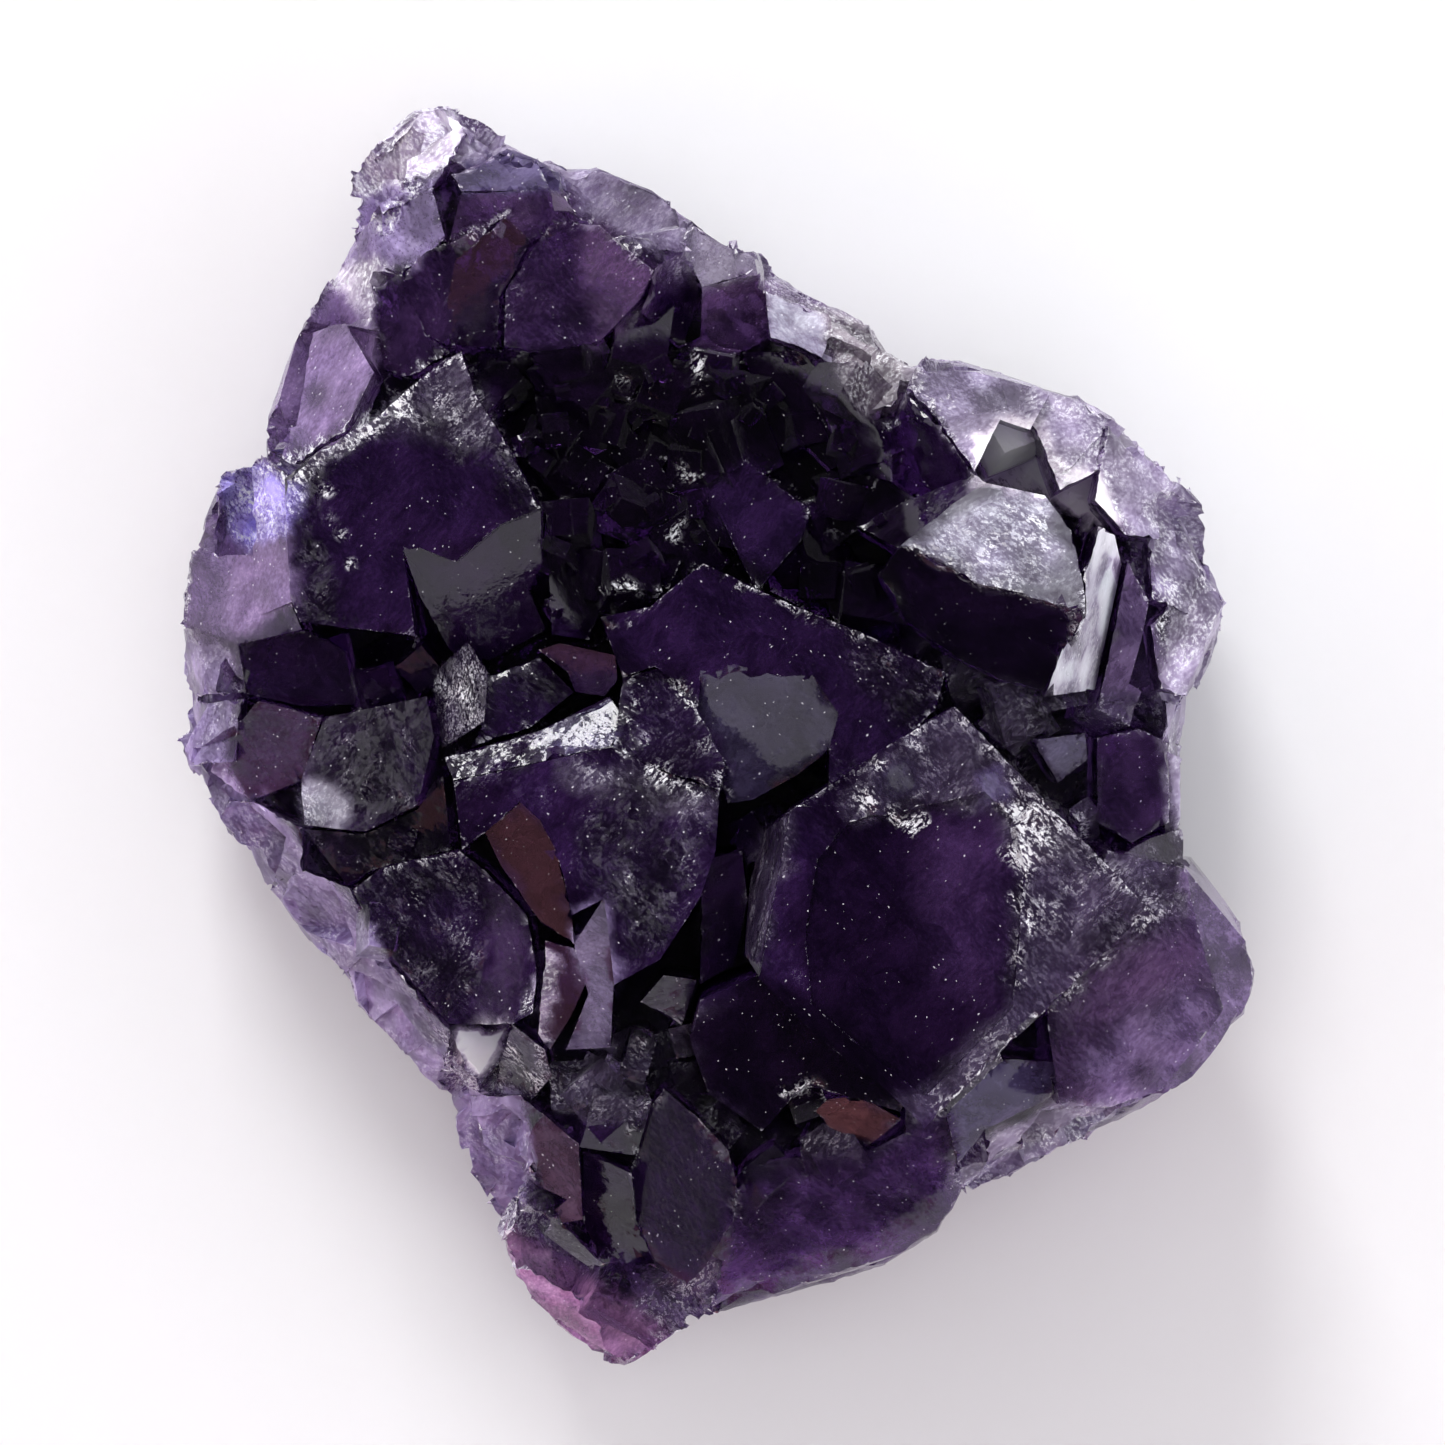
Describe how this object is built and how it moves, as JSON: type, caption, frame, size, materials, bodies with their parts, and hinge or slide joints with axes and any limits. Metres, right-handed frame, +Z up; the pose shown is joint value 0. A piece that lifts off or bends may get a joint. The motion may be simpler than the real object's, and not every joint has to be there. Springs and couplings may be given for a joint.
{
  "type": "fluorite crystal cluster",
  "caption": "Cluster of dark purple fluorite cubes grown together on a broken piece of the same clear mineral, with pale cleaved edges, resting on a flat cut underside.",
  "frame": {"origin": "middle of the object's plan box, on the flat cut underside", "axes": "+Z up out of the rest face towards the crystal faces, +Y towards the narrow tip at the top of the picture, +X to the picture's right"},
  "size_m": [0.055, 0.0644, 0.025],
  "materials": {
    "fluorite": "clear dark violet crystal with glossy growth faces, pale frosted cleavage along the rim and specks of whitish wear on the edges"
  },
  "bodies": {
    "root": {"fluorite_cluster": "fluorite"}
  },
  "joints": []
}
